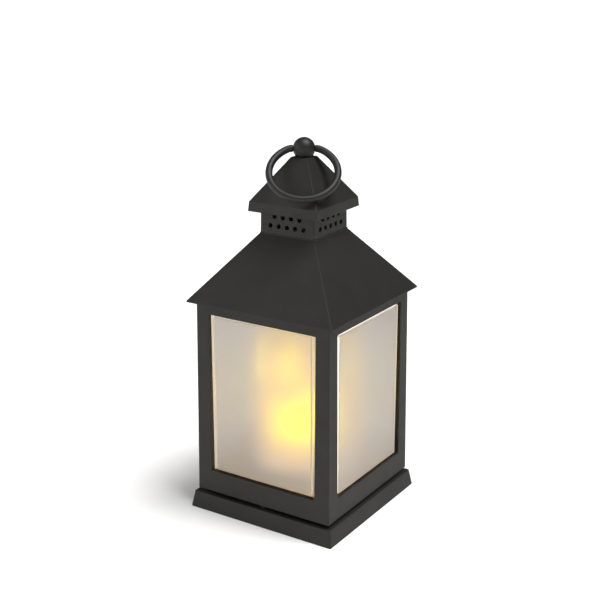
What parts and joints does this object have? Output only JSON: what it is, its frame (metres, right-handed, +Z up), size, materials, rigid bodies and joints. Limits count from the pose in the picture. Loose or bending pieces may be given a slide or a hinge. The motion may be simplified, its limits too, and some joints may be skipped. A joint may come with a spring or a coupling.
{
  "type": "battery lantern",
  "caption": "Square black battery lantern with frosted panes around a flame-effect lamp, a hipped roof, a pierced vent collar, a pyramid cap and a ball finial with a swinging ring handle.",
  "frame": {"origin": "centre of the foot, on the surface that the lantern stands on", "axes": "+Z up; -Y is the front, the left of the two sides in the picture; +X is the other side that it shows"},
  "size_m": [0.105, 0.105, 0.2356],
  "materials": {
    "black_plastic": "matte",
    "frosted_plastic": "frosted",
    "cell_jacket": "satin",
    "contact_brass": "satin",
    "steel": "satin",
    "switch_plastic": "matte",
    "green_board": "satin",
    "sealing_resin": "gloss",
    "white_board": "matte",
    "white_plastic": "matte",
    "led_lens": "gloss",
    "amber_plastic": "frosted"
  },
  "bodies": {
    "base": {"base_plinth": "black_plastic", "battery_cell_1": "cell_jacket", "battery_cell_2": "cell_jacket", "battery_cell_3": "cell_jacket", "positive_contacts": "contact_brass", "negative_contacts": "contact_brass", "switch_housing": "steel", "switch_leads": "steel", "control_board": "green_board", "controller_chip": "sealing_resin", "base_screws": "steel", "body_frame": "black_plastic", "pane_front": "frosted_plastic", "pane_right": "frosted_plastic", "pane_back": "frosted_plastic", "pane_left": "frosted_plastic", "lamp_deck": "white_plastic", "flame_socket": "white_plastic", "led_tube": "white_board", "leds": "led_lens", "flame_diffuser": "amber_plastic", "module_screws": "steel", "roof_shell": "black_plastic", "roof_screws": "steel", "vent_collar": "black_plastic", "cap": "black_plastic", "finial_washer": "steel"},
    "door": {"battery_door": "black_plastic"},
    "switch_knob": {"switch_slider": "switch_plastic"},
    "finial": {"ball_finial": "black_plastic", "finial_bolt": "steel"},
    "ring": {"ring_handle": "black_plastic"}
  },
  "joints": [
    {"name": "door_hinge", "type": "hinge", "parent": "base", "child": "door", "pos_m": [0, -0.0254, 0.002], "axis": [-1, 0, 0], "range_deg": [0, 80]},
    {"name": "switch_slide", "type": "slide", "parent": "base", "child": "switch_knob", "axis": [0, 1, 0], "range_m": [-0.004, 0]},
    {"name": "finial_swivel", "type": "hinge", "parent": "base", "child": "finial", "pos_m": [0, 0, 0.2288], "axis": [0, 0, 1], "continuous": true},
    {"name": "ring_swing", "type": "hinge", "parent": "finial", "child": "ring", "pos_m": [0, 0, 0.2288], "axis": [-0.8545, -0.5195, 0], "range_deg": [0, 257]}
  ]
}
